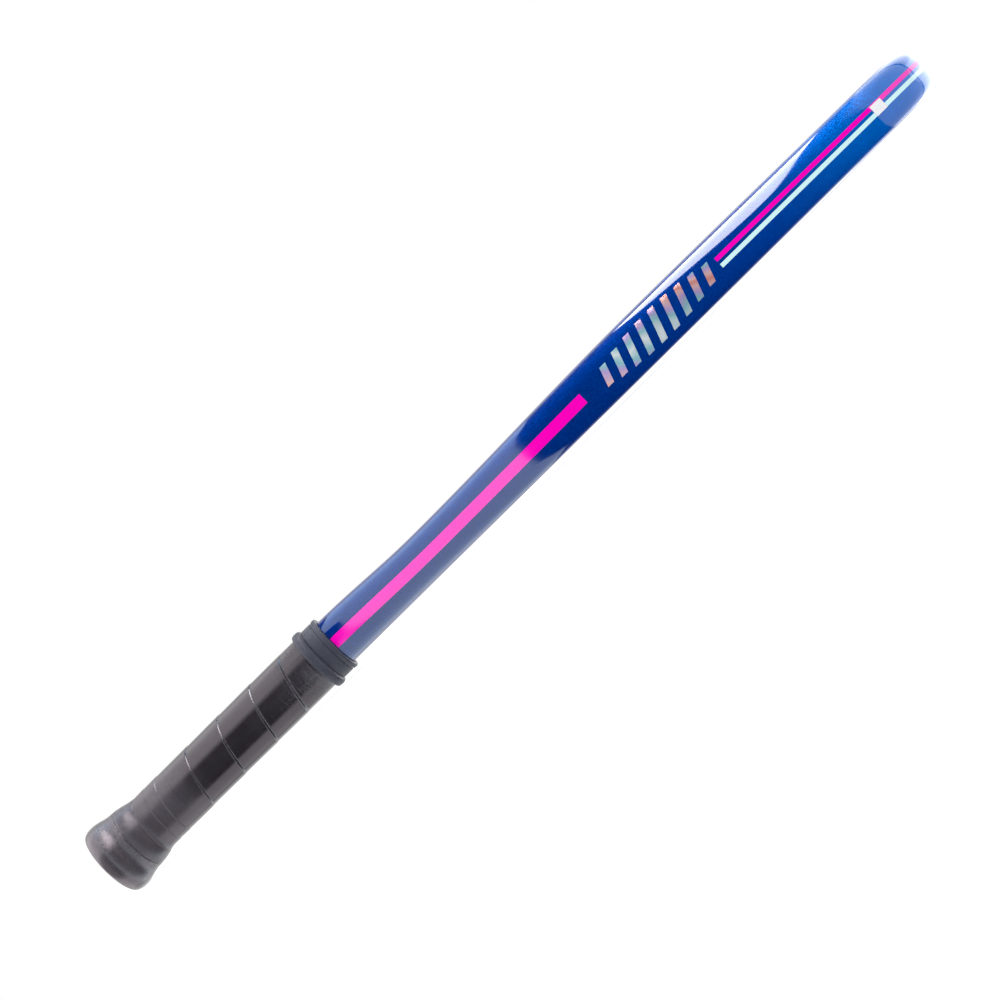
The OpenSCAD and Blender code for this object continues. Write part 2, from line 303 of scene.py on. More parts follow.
# The toe is too tight for an even wall, so its lining is a smaller toe
def lineToe(wall):
    turn = math.radians(body["hookTurn"] - 90)
    root = bendSection(turn)
    middle = ((root["outer"] + root["inner"]) / 2).to_3d()
    middle += Vector((0, 0, root["thick"] / 2))
    ahead = Vector((-math.sin(turn), math.cos(turn), 0))
    smaller = 1 - 2 * body["wall"] / root["thick"]
    for skin, lining in wall:
        away = skin.co - middle
        if away.length < body["toeReach"]:
            gone = ramp(away.dot(ahead) / body["toeLength"], *body["toeLining"])
            lining.co = lining.co.lerp(middle + away * smaller, gone)


def makeShell():
    rings = bodyRings()
    last = len(rings) - 1
    shell = rolledSheet(
        "lacqueredShell",
        last,
        body["around"],
        lambda u, v: skinPoint(rings[round(u * last)], 2 * math.pi * v),
    )
    tidyMesh(shell)
    lineToe(giveWall(shell, body["wall"]))
    layDown(shell, body["sharpest"])
    return shell


lacqueredShell = makeShell()
print("body", len(lacqueredShell.data.polygons), "faces")

# Lines printed along the outer edge: where they start and end along it, and how far their edges
# are above its widest line
lines = {
    "lift": 0.03,
    "film": 0.05,
    "across": 6,
    "sharpest": 30,
    "wide": {"from": 180.9, "to": 377.0, "low": -3.4, "high": 3.4, "slots": 48},
    "pink": {"from": 484.0, "to": 758.0, "low": 1.4, "high": 4.0, "slots": 110},
    "cyan": {"from": 484.0, "to": 758.0, "low": -3.2, "high": -0.6, "slots": 110},
}


def flankFilm(name, size, lift, across, slant=0.0):
    def spot(u, v):
        h = mix(size["low"], size["high"], v)
        return flankPoint(mix(size["from"], size["to"], u) + slant * h, h, lift)

    film = rolledSheet(name, size["slots"], across, spot)
    tidyMesh(film)
    return film


def finishFilm(film, thick):
    giveWall(film, thick, outwards=True)
    layDown(film, lines["sharpest"])
    return film


def printLine(name, size):
    return finishFilm(flankFilm(name, size, lines["lift"], lines["across"]), lines["film"])


wideStripe = printLine("wideStripe", lines["wide"])
pinkStripe = printLine("pinkStripe", lines["pink"])
cyanStripe = printLine("cyanStripe", lines["cyan"])

foil = {
    "count": 9,
    "from": 390.0,
    "pitch": 10.0,
    "tall": 19.0,
    "shortest": 0.45,  # share of the full height, before the swell towards the middle bars
    "swellBefore": 0.8,  # the swell starts this many bars before the first
    "swellLonger": 0.6,  # and is this many longer than the row
    "wide": 4.5,
    "slant": 0.35,
    "slots": (4, 24),
}


def foilBars():
    bars = []
    along, across = foil["slots"]
    swellLength = foil["count"] + foil["swellLonger"]
    for i in range(foil["count"]):
        swell = math.sin(math.pi * (i + foil["swellBefore"]) / swellLength)
        tall = foil["tall"] / 2 * (foil["shortest"] + (1 - foil["shortest"]) * swell)
        start = foil["from"] + i * foil["pitch"] + foil["tall"] / 2 * foil["slant"]
        size = {"from": start, "to": start + foil["wide"], "low": -tall, "high": tall}
        size["slots"] = along
        bars.append(flankFilm("foilBar%d" % i, size, lines["lift"], across, foil["slant"]))
    pick(bars[0])
    for bar in bars[1:]:
        bar.select_set(True)
    bpy.ops.object.join()
    bars[0].name = "foilBars"
    return finishFilm(bars[0], lines["film"])


foilMarks = foilBars()

# The white tag lies over the thin lines
tag = {
    "from": 605.0,
    "to": 613.0,
    "low": -3.4,
    "high": 3.4,
    "slots": 8,
    "lift": 0.15,
    "film": 0.09,
}
sizeTag = finishFilm(flankFilm("sizeTag", tag, tag["lift"], lines["across"]), tag["film"])
print("lines, foil bars and tag are on")

cap = {
    # distance from the butt and radius there, for the cap and the taped flare together
    "profile": [
        (1.2, 19.9),
        (1.4, 20.7),
        (1.9, 21.3),
        (2.8, 21.8),
        (4.4, 22.25),
        (6.6, 22.42),
        (8.8, 22.34),
        (11.1, 21.94),
        (13.4, 21.4),
        (15.6, 20.78),
        (17.9, 20.34),
        (20.2, 20.12),
        (22.5, 19.94),
        (24.8, 19.64),
        (27.0, 19.22),
        (29.3, 18.62),
        (31.6, 17.92),
        (33.9, 17.46),
        (36.5, 17.35),
        (40.0, 17.35),
    ],
    "face": 1.2,
    # a shallow moulded ring on the end face, as (depth, radius) from the middle outwards
    "endFace": [(0, 0.0), (0, 4.6), (0.35, 5.0), (0.35, 5.8), (0, 6.2), (0, 18.6), (0, 19.5)],
    # distances behind the end face at which the outline has its corners
    "corners": [0.05, 0.12, 0.25, 0.5, 0.8, 1.3, 1.9, 2.7, 3.6, 4.7, 6.0, 7.4]
    + [8.8, 10.2, 11.6, 13.0, 14.4, 15.8, 17.2, 18.4, 19.4, 20.0],
    "lip": (21.4, 0.06),  # last corner before the tape, and how far it is turned in
    "tapeStart": 21.5,
    "tapeGap": 0.2,
    "sleeveEnd": 35.0,
    "sleeveSteps": 8,
    "floor": 4.0,
    "bore": 15.35,
    "sharpest": 35,
}
grip = {
    "wall": 1.5,
    "start": 21.6,
    "end": 168.0,
    "calmFrom": 128.0,  # from here the turns flatten out towards the collar
    "step": 0.24,
    "buttStep": 0.4,  # share of that step near the butt
    "buttStepEnds": (24, 36),  # where it grows to the whole step
    "edgeFrom": 0.95,  # share of a turn after which its edge falls away
    # where the edge of each turn crosses the side of the handle, from the butt on
    "edges": [-64.0, -41.0, -18.0, 4.0, 22.4, 33.6, 42.5, 51.1]
    + [75.1, 100.3, 125.9, 149.5, 174.0, 199.0, 224.0],
    "edgesAt": 27.4,  # degrees above the axis where those edges were laid out
    # shares of a turn at which its corners lie, close together where its edge falls away
    "cells": [0, 0.03, 0.08, 0.16, 0.28, 0.42, 0.56, 0.7]
    + [0.82, 0.9, 0.94, 0.955, 0.966, 0.977, 0.988, 1],
    "around": 108,
    "merge": 0.004,
    "sharpest": 38,
}


# Smooth curve through a list of (place, value) pairs
def throughPoints(points, x):
    if x >= points[-1][0]:
        return points[-1][1]
    i = max(k for k in range(len(points) - 1) if points[k][0] <= x or k == 0)

    def slope(k):
        before, after = points[max(k - 1, 0)], points[min(k + 1, len(points) - 1)]
        return (after[1] - before[1]) / (after[0] - before[0])

    (startX, startR), (endX, endR) = points[i], points[i + 1]
    span = endX - startX
    t = (x - startX) / span
    rise = mix(startR, endR, t * t * (3 - 2 * t))
    return rise + span * t * (1 - t) * ((1 - t) * slope(i) - t * slope(i + 1))


def flareRadius(x):
    return throughPoints(cap["profile"], x)


def capOutline():
    face = cap["face"]
    outline = [(face + depth, radius) for depth, radius in cap["endFace"]]
    outline += [(face + step, flareRadius(face + step)) for step in cap["corners"]]
    lipAt, turnedIn = cap["lip"]
    outline.append((lipAt, flareRadius(lipAt) - turnedIn))
    for i in range(cap["sleeveSteps"] + 1):
        x = mix(cap["tapeStart"], cap["sleeveEnd"], i / cap["sleeveSteps"])
        outline.append((x, flareRadius(x) - grip["wall"] - cap["tapeGap"]))
    outline += [(cap["sleeveEnd"], cap["bore"]), (cap["floor"], cap["bore"])]
    return outline + [(cap["floor"], 0.0)]


buttCap = turnedRing("buttCap", capOutline())
layDown(buttCap, cap["sharpest"])
print("butt cap", len(buttCap.data.polygons), "faces")


# Smooth curve through the turn edges: turn 0 is the first entry
def edgeAt(turn):
    edges = grip["edges"]
    turn = min(max(turn, 1.0), len(edges) - 2.001)
    i = int(turn)
    t = turn - i
    a, b, c, d = edges[i - 1 : i + 3]
    bend = (2 * a - 5 * b + 4 * c - d) / 2 + t * (3 * b - a - 3 * c + d) / 2
    return b + t * ((c - a) / 2 + t * bend)


# How far a turn of tape stands up at share f of its width
def tapeRise(x, f):
    step = grip["step"] * mix(grip["buttStep"], 1, ramp(x, *grip["buttStepEnds"]))
    step *= 1 - ramp(x, grip["calmFrom"], grip["end"])
    if f > grip["edgeFrom"]:
        return step * (1 - ramp(f, grip["edgeFrom"], 1))
    return step * f / grip["edgeFrom"]


def turnCount():
    return len(grip["edges"]) - 4  # the curve needs spare edges at both ends


def tapeSpot(u, v):
    cellCount = len(grip["cells"]) - 1
    turn, cell = divmod(round(u * turnCount() * cellCount), cellCount)
    f = grip["cells"][cell]
    angle = 2 * math.pi * v + math.pi + math.radians(grip["edgesAt"])  # joined on the far side
    x = edgeAt(turn + f + 0.5 + v)
    r = flareRadius(x) + tapeRise(x, f)
    return Vector((x, -r * math.cos(angle), stick["axisHeight"] + r * math.sin(angle)))


def awayFromAxis(point):
    return Vector((0, point.y, point.z - stick["axisHeight"])).normalized()


def wrapTape():
    along = turnCount() * (len(grip["cells"]) - 1)
    tape = rolledSheet("gripTape", along, grip["around"], tapeSpot)
    tidyMesh(tape, grip["merge"])
    facet = tape.data.polygons[0]
    inward = facet.normal.dot(awayFromAxis(facet.center)) < 0
    bpy.ops.object.mode_set(mode="EDIT")
    if inward:
        bpy.ops.mesh.flip_normals()
    for place, way in ((grip["start"], 1), (grip["end"], -1)):
        bpy.ops.mesh.select_all(action="SELECT")
        bpy.ops.mesh.bisect(plane_co=(place, 0, 0), plane_no=(way, 0, 0), clear_inner=True)
    bpy.ops.object.mode_set(mode="OBJECT")
    for skin, lining in giveWall(tape, grip["wall"]):  # the lining stays smooth under the turns
        x = skin.co.x
        reach = awayFromAxis(skin.co) * (flareRadius(x) - grip["wall"])
        lining.co = Vector((x, 0, stick["axisHeight"])) + reach
    layDown(tape, grip["sharpest"])
    return tape


gripTape = wrapTape()
print("grip tape", len(gripTape.data.polygons), "faces")

collar = {
    "start": 164.0,
    "length": 16.5,
    "bead": 19.7,
    "beadPast": 1.2,  # how far the bead reaches past the step in the bore
    "beadPower": 0.7,
    "beadFoot": 0.5,  # height above the grip's bore where the bead starts to rise
    "beadSteps": 20,
    "nearCorner": 0.35,
    "band": 17.7,
    "gripBore": 17.9,
    "handleBore": 15.35,
    "stepBore": 15.75,
    "stepAt": 168.55,
    "tapeEnd": 177.65,
    # the groove behind the bead, from its end, and the groove before the far rim, from the far end:
    # (distance along, height above the band)
    "bandGroove": [(0.15, -0.12), (0.5, -0.1), (0.8, 0.06), (1.4, 0.1)],
    "rimGroove": [(-4.2, 0.1), (-3.8, 0.04), (-3.6, -0.3), (-3.1, -0.3), (-2.9, 0.1)],
    "rim": {"middle": -1.45, "half": 1.35, "foot": 0.12, "rise": 0.33, "steps": 8},
    "farCorner": {"outer": 0.15, "inner": 0.5, "in": 0.3},
    "sharpest": 50,
}


def collarOutline():
    start, far, band = collar["start"], collar["start"] + collar["length"], collar["band"]
    gripBore, handleBore = collar["gripBore"], collar["handleBore"]
    outline = [(start, gripBore), (start, gripBore + collar["nearCorner"])]
    beadLength = collar["stepAt"] - start + collar["beadPast"]
    for i in range(1, collar["beadSteps"]):
        a = math.pi * (1 - i / collar["beadSteps"])
        foot = gripBore + collar["beadFoot"] if a > math.pi / 2 else band
        r = foot + (collar["bead"] - foot) * math.sin(a) ** collar["beadPower"]
        outline.append((start + beadLength / 2 * (1 + math.cos(a)), r))
    end = start + beadLength
    outline += [(end + along, band + above) for along, above in collar["bandGroove"]]
    outline += [(far + along, band + above) for along, above in collar["rimGroove"]]
    rim = collar["rim"]
    for i in range(rim["steps"] + 1):
        a = math.pi * (1 - i / rim["steps"])
        x = far + rim["middle"] + rim["half"] * math.cos(a)
        outline.append((x, band + rim["foot"] + rim["rise"] * math.sin(a)))
    corner = collar["farCorner"]
    outline += [(far, band - corner["outer"]), (far, handleBore + corner["inner"])]
    outline += [(far - corner["in"], handleBore), (collar["tapeEnd"], handleBore)]
    outline += [(collar["tapeEnd"], collar["stepBore"]), (collar["stepAt"], collar["stepBore"])]
    return outline + [(collar["stepAt"], gripBore)]


rubberCollar = turnedRing("rubberCollar", collarOutline())
layDown(rubberCollar, collar["sharpest"])
print("collar", len(rubberCollar.data.polygons), "faces")


class Wire:  # an output socket that takes part in sums
    def __init__(self, desk, socket):
        self.desk, self.socket = desk, socket

    def maths(self, operation, *values):
        return self.desk.add("ShaderNodeMath", {"operation": operation}, dict(enumerate(values)))

    def __add__(self, other):
        return self.maths("ADD", self, other)

    def __radd__(self, other):
        return self.maths("ADD", other, self)

    def __sub__(self, other):
        return self.maths("SUBTRACT", self, other)

    def __rsub__(self, other):
        return self.maths("SUBTRACT", other, self)

    def __mul__(self, other):
        return self.maths("MULTIPLY", self, other)

    def __rmul__(self, other):
        return self.maths("MULTIPLY", other, self)

    def __truediv__(self, other):
        return self.maths("DIVIDE", self, other)

    def __pow__(self, other):
        return self.maths("POWER", self, other)

    def __gt__(self, other):
        return self.maths("GREATER_THAN", self, other)

    def absolute(self):
        return self.maths("ABSOLUTE", self)

    def wave(self):
        return self.maths("SINE", self)

    def rising(self, start, end):  # 0 before start, 1 after end, smooth between
        settings = {"interpolation_type": "SMOOTHSTEP"}
        values = {"Value": self, "From Min": start, "From Max": end}
        return self.desk.add("ShaderNodeMapRange", settings, values)

    def falling(self, start, end):
        return 1 - self.rising(start, end)

    def share(self, start, end, most):  # 0 before start, most after end
        return self.rising(start, end) * most

    def fading(self, start, end, most):  # most before start, 0 after end
        return self.falling(start, end) * most

    def between(self, start, end, soft):
        return self.rising(start - soft, start + soft) * self.falling(end - soft, end + soft)


class Desk:  # one node tree being written
    def __init__(self, tree):
        self.tree = tree
        tree.nodes.clear()

    def add(self, kind, settings=None, values=None, output=0):
        node = self.tree.nodes.new(kind)
        for key, setting in (settings or {}).items():
            if key == "stops":
                row = node.color_ramp.elements
                for i, (place, colour) in enumerate(setting):
                    stop = row[i] if i < 2 else row.new(place)
                    stop.position, stop.color = place, colour
            else:
                setattr(node, key, setting)
        for key, value in (values or {}).items():
            if isinstance(value, Wire):
                self.tree.links.new(value.socket, node.inputs[key])
            else:
                node.inputs[key].default_value = value
        return Wire(self, node.outputs[output]) if len(node.outputs) else None

    def place(self, scale=(1, 1, 1), turn=(0, 0, 0)):  # object coordinates in metres, stretched
        coordinates = self.add("ShaderNodeTexCoord", output="Object")
        values = {"Vector": coordinates, "Scale": scale, "Rotation": turn}
        return self.add("ShaderNodeMapping", None, values)

    def axis(self, vector, name):
        return self.add("ShaderNodeSeparateXYZ", None, {0: vector}, output=name)

    def noise(self, vector, scale, detail=3.0, roughness=0.5):
        values = {"Vector": vector, "Scale": scale, "Detail": detail, "Roughness": roughness}
        return self.add("ShaderNodeTexNoise", None, values)

    def cells(self, vector, scale, output="Distance"):
        return self.add("ShaderNodeTexVoronoi", None, {"Vector": vector, "Scale": scale}, output)

    def weave(self, vector, threads):  # threads that cross, from -1 to 1
        east = (self.axis(vector, "X") * threads).wave()
        north = (self.axis(vector, "Z") * threads).wave()
        return east * north

    def toneRamp(self, stops, factor):
        stops = [(place, shade(*colour)) for place, colour in stops]
        return self.add("ShaderNodeValToRGB", {"stops": stops}, {"Fac": factor})

    def blend(self, factor, a, b):
        values = {"Factor": factor, 6: a, 7: b}
        return self.add("ShaderNodeMix", {"data_type": "RGBA"}, values, output=2)

    def bump(self, height, strength, distance, normal=None):
        values = {"Height": height, "Strength": strength, "Distance": distance}
        if normal:
            values["Normal"] = normal
        return self.add("ShaderNodeBump", None, values)

    def rays(self, *kinds):  # 1 for rays of these kinds
        seen = self.add("ShaderNodeLightPath", output=kinds[0])
        for kind in kinds[1:]:
            seen = seen + self.add("ShaderNodeLightPath", output=kind)
        return seen

    def surface(self, **values):
        values = {key.replace("_", " "): value for key, value in values.items()}
        shader = self.add("ShaderNodeBsdfPrincipled", None, values)
        self.add("ShaderNodeOutputMaterial", None, {"Surface": shader})


def newMaterial(name):
    material = bpy.data.materials.new(name)
    material.use_nodes = True
    return material, Desk(material.node_tree)


def shade(r, g, b):  # a colour named by its 0-255 screen values
    def light(value):
        value /= 255
        return value / 12.92 if value <= 0.04045 else ((value + 0.055) / 1.055) ** 2.4

    return (light(r), light(g), light(b), 1.0)


# In the finishes below, a noise is (per metre, detail, roughness), a share is (from, to, most) on a
# pattern's own values, and a relief is (strength, depth in metres).
coat = {"Coat_Weight": 1.0, "Coat_Roughness": 0.03, "Coat_IOR": 1.5}
warmShine = {"Specular_Tint": (1.0, 0.88, 0.96, 1)}
lacquer = {
    # tone at each place, from the butt at 0 to the far end of the head at 1
    "colours": [
        (0.27, (0, 35, 108)),
        (0.53, (0, 42, 120)),
        (0.74, (0, 52, 139)),
        (0.785, (0, 60, 152)),
        (0.83, (3, 74, 165)),
        (0.88, (0, 92, 185)),
        (0.94, (0, 100, 190)),
    ],
    "flakes": 2600.0,  # per metre
    "flakeTone": (0, 96, 205),
    "flakeShare": (0.55, 1.0, 0.2),
    "flakeMetal": (0.7, 1.0, 0.12),
    "flakeRough": 0.1,
    "flakeRelief": (0.02, 0.0001),
    "clouds": (90.0, 4.0),
    "cloudTone": (0, 20, 80),
    "cloudShare": (0.35, 0.75, 0.1),
    "metal": 0.25,
    "rough": 0.42,
}


def lacquerMaterial():
    material, desk = newMaterial("blueLacquer")
    spot = desk.place()
    along = desk.axis(spot, "X") / (stick["length"] / 1000) + 0.5
    base = desk.toneRamp(lacquer["colours"], along)
    flakes = desk.cells(spot, lacquer["flakes"], output="Color")
    glint = desk.axis(flakes, "X")
    clouds = desk.noise(spot, *lacquer["clouds"])
    lit = desk.blend(glint.share(*lacquer["flakeShare"]), base, shade(*lacquer["flakeTone"]))
    lit = desk.blend(clouds.share(*lacquer["cloudShare"]), lit, shade(*lacquer["cloudTone"]))
    desk.surface(
        Base_Color=lit,
        Metallic=lacquer["metal"] + glint.share(*lacquer["flakeMetal"]),
        Roughness=lacquer["rough"] + (glint - 0.5) * lacquer["flakeRough"],
        Specular_IOR_Level=0.0,  # the coat does the shining
        Normal=desk.bump(glint, *lacquer["flakeRelief"]),
        **coat,
    )
    return material


printing = {
    "pink": ((255, 0, 190), (255, 20, 198)),
    "cyan": ((214, 252, 254), (222, 255, 255)),
    "white": ((244, 244, 246), (226, 228, 232)),
    "grain": (900.0, 4.0, 0.6),
    "grainShare": (0.35, 0.8, 0.35),
    "grainRough": 0.15,
    "specks": 2200.0,
    "speckRelief": (0.03, 0.00005),
    "rough": 0.38,
}


def printMaterial(name, tones):
    material, desk = newMaterial(name)
    spot = desk.place()
    grain = desk.noise(spot, *printing["grain"])
    specks = desk.cells(spot, printing["specks"])
    tone, second = tones
    desk.surface(
        Base_Color=desk.blend(grain.share(*printing["grainShare"]), shade(*tone), shade(*second)),
        Roughness=printing["rough"] + grain * printing["grainRough"],
        Specular_IOR_Level=0.0,
        Normal=desk.bump(specks, *printing["speckRelief"]),
        **coat,
    )
    return material


foilFinish = {
    "colours": [
        (0.0, (236, 150, 138)),
        (0.25, (240, 196, 196)),
        (0.5, (196, 170, 226)),
        (0.72, (150, 205, 214)),
        (1.0, (236, 240, 244)),
    ],
    "alongBands": 11.0,  # times per metre that the colours come round
    "upBands": 26.0,
    "sway": (34.0, 2.0),
    "swayBands": 1.1,
    "swayRough": 0.2,
    "grating": {"Scale": 900.0, "Distortion": 0.4},
    "gratingMetal": 0.2,
    "gratingRelief": (0.04, 0.00004),
    "metal": 0.45,
    "rough": 0.24,
}


def foilMaterial():
    material, desk = newMaterial("iridescentFoil")
    spot = desk.place()
    sway = desk.noise(spot, *foilFinish["sway"]) - 0.5
    along = desk.axis(spot, "X") * foilFinish["alongBands"]
    along = along + desk.axis(spot, "Z") * foilFinish["upBands"] + sway * foilFinish["swayBands"]
    toAndFro = along.maths("PINGPONG", along, 0.5) * 2
    tone = desk.toneRamp(foilFinish["colours"], toAndFro)
    settings = {"wave_type": "BANDS", "bands_direction": "DIAGONAL"}
    grating = desk.add("ShaderNodeTexWave", settings, {"Vector": spot, **foilFinish["grating"]})
    desk.surface(
        Base_Color=tone,
        Metallic=foilFinish["metal"] + grating * foilFinish["gratingMetal"],
        Roughness=foilFinish["rough"] + sway * foilFinish["swayRough"],
        Normal=desk.bump(grating, *foilFinish["gratingRelief"]),
        **coat,
    )
    return material


tape = {
    "tone": (40, 37, 43),
    "worn": (49, 46, 52),
    "rough": 0.07,
    # the stretch before this x, in metres, is paler and duller
    "buttEnd": {
        "until": -0.262,
        "soft": 0.014,
        "tone": (57, 53, 60),
        "worn": (70, 66, 73),
        "rough": 0.26,
    },
    "pull": (1.0, 0.12, 0.12),  # the creases are drawn out round the handle
    "pullTurn": -12,  # and lean by these degrees
    "creases": (520.0, 4.0, 0.6),
    "creaseRelief": (0.06, 0.0004),
    "creaseRough": 0.02,
    "mottling": (60.0, 4.0, 0.6),
    "mottlingEnds": (0.35, 0.75),
    "mottlingRough": 0.04,
    "dents": (130.0, 2.0, 0.4),
    "dentRelief": (0.05, 0.0007),
    "grain": 1500.0,
    "grainRelief": (0.1, 0.0001),
    "pores": (2600.0, 2.0),
    "poreTone": (30, 28, 33),
    "poreShare": (0.55, 0.8, 0.3),
    "shine": 0.6,
}


def tapeMaterial():
    material, desk = newMaterial("tackyTape")
    butt = tape["buttEnd"]
    spot = desk.place()
    until, soft = butt["until"], butt["soft"]
    handled = desk.axis(spot, "X").rising(until - soft, until + soft)
    pulled = desk.place(scale=tape["pull"], turn=(0, math.radians(tape["pullTurn"]), 0))
    creases = desk.noise(pulled, *tape["creases"])
    mottling = desk.noise(spot, *tape["mottling"])
    grain = desk.cells(spot, tape["grain"])
    pores = desk.noise(spot, *tape["pores"])
    worn = mottling.rising(*tape["mottlingEnds"])
    buttTone = desk.blend(worn, shade(*butt["tone"]), shade(*butt["worn"]))
    tone = desk.blend(worn, shade(*tape["tone"]), shade(*tape["worn"]))
    tone = desk.blend(handled, buttTone, tone)
    tone = desk.blend(pores.share(*tape["poreShare"]), tone, shade(*tape["poreTone"]))
    relief = desk.bump(desk.noise(spot, *tape["dents"]), *tape["dentRelief"])
    relief = desk.bump(creases, *tape["creaseRelief"], relief)
    relief = desk.bump(grain, *tape["grainRelief"], relief)
    rough = butt["rough"] + handled * (tape["rough"] - butt["rough"])
    rough = rough + mottling * tape["mottlingRough"] + creases * tape["creaseRough"]
    desk.surface(
        Base_Color=tone,
        Roughness=rough,
        Specular_IOR_Level=tape["shine"],
        Normal=relief,
        **warmShine,
    )
    return material


rubber = {
    "cap": {
        "tone": (50, 46, 53),
        "dusty": (62, 58, 65),
        "rough": 0.28,
        "shine": 0.95,
        "grain": 700.0,
        "relief": (0.35, 0.0001),
    },
    "collar": {
        "tone": (56, 60, 71),
        "dusty": (68, 72, 84),
        "rough": 0.46,
        "shine": 0.28,
        "grain": 900.0,
        "relief": (0.35, 0.0001),
    },
    "damper": {
        "tone": (70, 66, 60),
        "dusty": (92, 88, 80),
        "rough": 0.75,
        "shine": 0.5,
        "grain": 500.0,
        "relief": (0.35, 0.0003),
    },
    "dust": (120.0, 5.0, 0.65),
    "dustShare": (0.4, 0.75, 0.6),
    "dustRough": 0.16,
    "grainDetail": (3.0, 0.6),
}


def rubberMaterial(name, kind):
    material, desk = newMaterial(name)
    spot = desk.place()
    dust = desk.noise(spot, *rubber["dust"])
    grain = desk.noise(spot, kind["grain"], *rubber["grainDetail"])
    dusty = dust.share(*rubber["dustShare"])
    desk.surface(
        Base_Color=desk.blend(dusty, shade(*kind["tone"]), shade(*kind["dusty"])),
        Roughness=kind["rough"] + (dust - 0.5) * rubber["dustRough"],
        Specular_IOR_Level=kind["shine"],
        Normal=desk.bump(grain, *kind["relief"]),
        **warmShine,
    )
    return material


foam = {
    "core": {"tone": (214, 196, 140), "deep": (160, 140, 92), "cells": 700.0, "rough": 0.9},
    "head": {"tone": (196, 188, 172), "deep": (140, 132, 116), "cells": 950.0, "rough": 0.85},
    "finer": 2.3,  # the cell walls are this much finer than the cells
    "hollowShare": (0.1, 0.75, 0.55),
    "drift": (45.0, 3.0),
    "driftShare": (0.4, 0.8, 0.25),
    "wallRough": 0.08,
    "wallHeight": 0.4,
    "relief": (0.6, 0.0005),
}


def foamMaterial(name, kind):
    material, desk = newMaterial(name)
    spot = desk.place()
    pores = desk.cells(spot, kind["cells"])
    walls = desk.cells(spot, kind["cells"] * foam["finer"])
    drift = desk.noise(spot, *foam["drift"])
    deep = shade(*kind["deep"])
    tone = desk.blend(pores.share(*foam["hollowShare"]), shade(*kind["tone"]), deep)
    desk.surface(
        Base_Color=desk.blend(drift.share(*foam["driftShare"]), tone, deep),
        Roughness=kind["rough"] - walls * foam["wallRough"],
        Normal=desk.bump(pores + walls * foam["wallHeight"], *foam["relief"]),
    )
    return material


laminate = {
    "dark": (34, 35, 38),
    "light": (62, 63, 66),
    "threads": 2200.0,
    "threadEnds": (-0.4, 0.4),
    "threadHeight": 0.6,
    "turn": 45,  # degrees that the first set of threads leans across the stick
    "fibres": (1800.0, 4.0, 0.7),
    "fibreTone": (96, 92, 80),
    "fibreShare": (0.5, 0.8, 0.4),
    "fibreHeight": 0.4,
    "fibreRough": 0.2,
    "rough": 0.38,
    "relief": (0.5, 0.0002),
}


def laminateMaterial():
    material, desk = newMaterial("wovenLaminate")
    spot = desk.place(turn=(0, 0, math.radians(laminate["turn"])))
    weave = desk.weave(spot, laminate["threads"])
    fibres = desk.noise(spot, *laminate["fibres"])
    upper = weave.rising(*laminate["threadEnds"])
    tone = desk.blend(upper, shade(*laminate["dark"]), shade(*laminate["light"]))
    loose = fibres.share(*laminate["fibreShare"])
    height = weave * laminate["threadHeight"] + fibres * laminate["fibreHeight"]
    desk.surface(
        Base_Color=desk.blend(loose, tone, shade(*laminate["fibreTone"])),
        Roughness=laminate["rough"] + fibres * laminate["fibreRough"],
        Normal=desk.bump(height, *laminate["relief"]),
    )
    return material


plug = {
    "tone": (58, 60, 64),
    "pale": (76, 78, 82),
    "stretch": (1, 4, 4),  # flow marks run along the plug
    "flow": (55.0, 3.0),
    "flowShare": (0.35, 0.7, 0.5),
    "flowRough": 0.15,
    "stipple": 1300.0,
    "rough": 0.5,
    "relief": (0.25, 0.0001),
}


def plasticMaterial():
    material, desk = newMaterial("mouldedPlug")
    spot = desk.place()
    flow = desk.noise(desk.place(scale=plug["stretch"]), *plug["flow"])
    stipple = desk.cells(spot, plug["stipple"])
    streaks = flow.share(*plug["flowShare"])
    desk.surface(
        Base_Color=desk.blend(streaks, shade(*plug["tone"]), shade(*plug["pale"])),
        Roughness=plug["rough"] + flow * plug["flowRough"],
        Normal=desk.bump(stipple, *plug["relief"]),
    )
    return material


cloth = {
    "tone": (206, 200, 186),
    "worn": (176, 170, 158),
    "wear": (150.0, 4.0),
    "wearShare": (0.35, 0.75, 0.6),
    "wearRough": 0.15,
    "threads": 5200.0,
    "threadTone": (150, 146, 136),
    "threadShare": (0.2, 0.9, 0.35),
    "rough": 0.7,
    "relief": (0.3, 0.0001),
}


def backingTapeMaterial():
    material, desk = newMaterial("clothTape")
    spot = desk.place()
    weave = desk.weave(spot, cloth["threads"])
    wear = desk.noise(spot, *cloth["wear"])
    worn = wear.share(*cloth["wearShare"])
    tone = desk.blend(worn, shade(*cloth["tone"]), shade(*cloth["worn"]))
    raised = weave.share(*cloth["threadShare"])
    desk.surface(
        Base_Color=desk.blend(raised, tone, shade(*cloth["threadTone"])),
        Roughness=cloth["rough"] + wear * cloth["wearRough"],
        Normal=desk.bump(weave, *cloth["relief"]),
    )
    return material


blueLacquer = lacquerMaterial()
pinkPrint = printMaterial("pinkPrint", printing["pink"])
cyanPrint = printMaterial("cyanPrint", printing["cyan"])
whitePrint = printMaterial("whitePrint", printing["white"])
foilFilm = foilMaterial()
tackyTape = tapeMaterial()
capRubber = rubberMaterial("capRubber", rubber["cap"])
collarRubber = rubberMaterial("collarRubber", rubber["collar"])
damperRubber = rubberMaterial("damperRubber", rubber["damper"])
coreFoam = foamMaterial("coreFoam", foam["core"])
headFoam = foamMaterial("headFoam", foam["head"])
wovenLaminate = laminateMaterial()
mouldedPlug = plasticMaterial()
clothTape = backingTapeMaterial()


def paint(piece, material):
    piece.data.materials.clear()
    piece.data.materials.append(material)


def dress(piece, material, slotName, *standsFor):
    paint(piece, material)
    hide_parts(*standsFor)
    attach(piece, "root")


